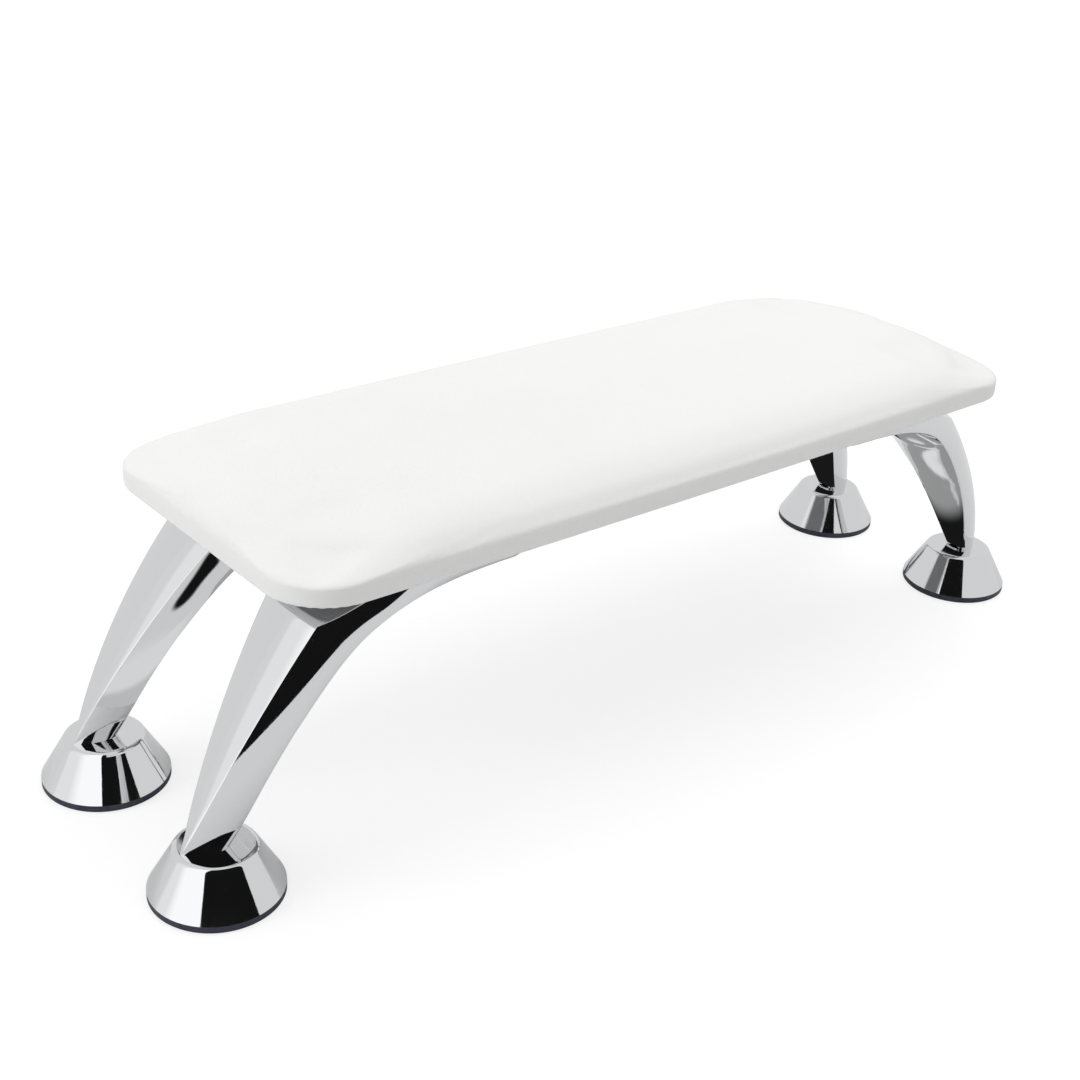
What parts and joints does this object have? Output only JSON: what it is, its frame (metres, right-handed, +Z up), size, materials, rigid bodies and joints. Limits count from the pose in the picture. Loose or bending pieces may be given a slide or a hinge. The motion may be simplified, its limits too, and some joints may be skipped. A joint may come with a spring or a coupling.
{
  "type": "hand rest",
  "caption": "Low padded hand rest with a white crowned cushion on splayed chromed legs that stand in conical chromed cups with rubber undersides.",
  "frame": {"origin": "on the table, under the middle of the pad", "axes": "+X along the pad, +Y across the pad from front to back, +Z up"},
  "size_m": [0.4646, 0.1432, 0.1322],
  "materials": {
    "cover": "fine matt grain",
    "foam": "open-cell foam",
    "board": "raw plywood",
    "lining": "matt non-woven cloth",
    "steel": "zinc plated",
    "brass": "turned",
    "leg": "mirror chrome",
    "cup": "mirror chrome",
    "rubber": "matt"
  },
  "bodies": {
    "root": {"cover": "cover", "foam": "foam", "board": "board", "lining": "lining", "staples": "steel", "threaded_inserts": "brass", "leg_screws": "steel", "leg_front_left": "leg", "leg_front_right": "leg", "leg_back_left": "leg", "leg_back_right": "leg", "cup_front_left": "cup", "cup_front_right": "cup", "cup_back_left": "cup", "cup_back_right": "cup", "foot_washers": "steel", "foot_screws": "steel", "rubber_front_left": "rubber", "rubber_front_right": "rubber", "rubber_back_left": "rubber", "rubber_back_right": "rubber"}
  },
  "joints": []
}
